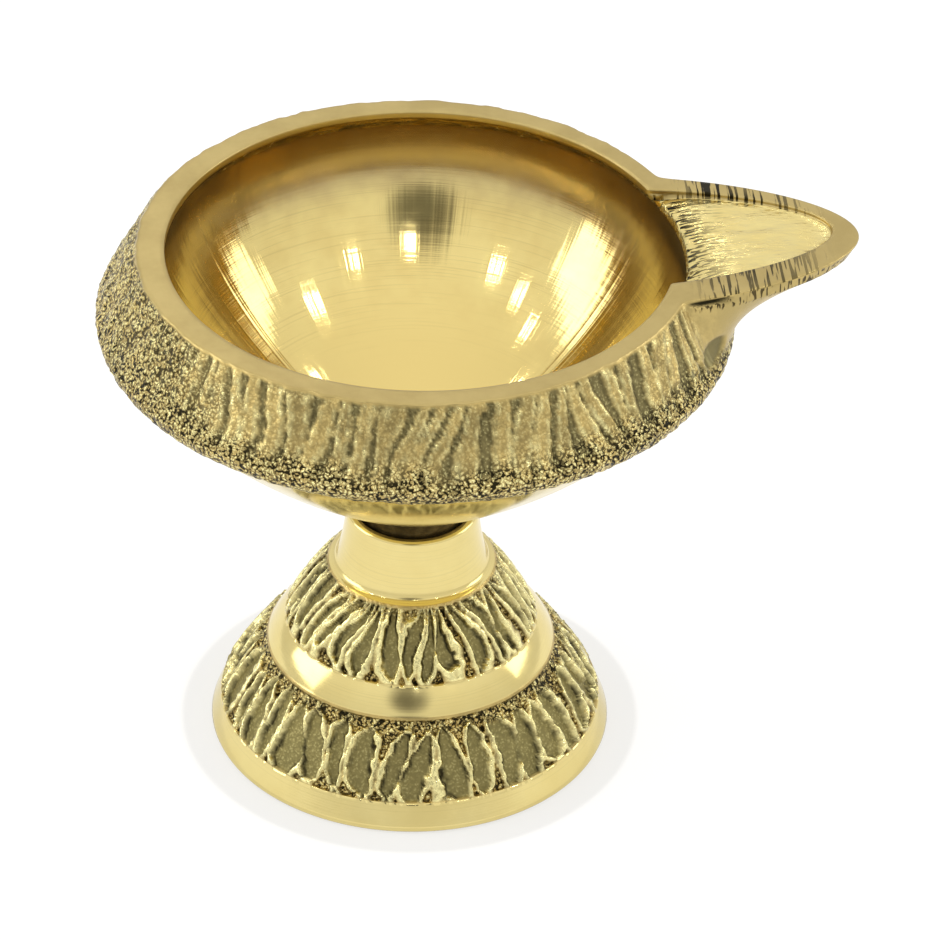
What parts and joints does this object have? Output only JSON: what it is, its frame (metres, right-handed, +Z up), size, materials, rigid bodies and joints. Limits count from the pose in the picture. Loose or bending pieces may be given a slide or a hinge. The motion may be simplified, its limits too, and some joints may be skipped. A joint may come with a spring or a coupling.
{
  "type": "diya oil lamp",
  "caption": "Brass diya oil lamp: a round bowl with a leaf-shaped wick spout, screwed from below to a hollow flared pedestal with petal bands.",
  "frame": {"origin": "on the surface that the lamp stands on, under the middle of the lamp's outline, spout included", "axes": "+X along the spout, +Z up"},
  "size_m": [0.075, 0.0628, 0.0568],
  "materials": {
    "polished_brass": "polished",
    "cast_brass": "sand-cast and turned",
    "zinc_steel": "zinc-plated",
    "spring_steel": "oiled"
  },
  "bodies": {
    "pedestal": {"pedestal": "cast_brass"},
    "bowl": {"bowl": "polished_brass"},
    "washers": {"flat_washer": "zinc_steel", "spring_washer": "spring_steel"},
    "screw": {"clamp_screw": "zinc_steel"}
  },
  "joints": [
    {"name": "bowl_turn", "type": "hinge", "parent": "pedestal", "child": "bowl", "pos_m": [-0.00605, 0, 0.0237], "axis": [0, 0, 1], "continuous": true},
    {"name": "screw_back", "type": "slide", "parent": "pedestal", "child": "washers", "axis": [0, 0, -1], "range_m": [0, 0.004]},
    {"name": "screw_turn", "type": "hinge", "parent": "washers", "child": "screw", "pos_m": [-0.00605, 0, 0.0144], "axis": [0, 0, -1], "range_deg": [0, 2057]}
  ],
  "couplings": [
    {"joint": "screw_turn", "follows": "screw_back", "rad_per_m": 8976}
  ]
}
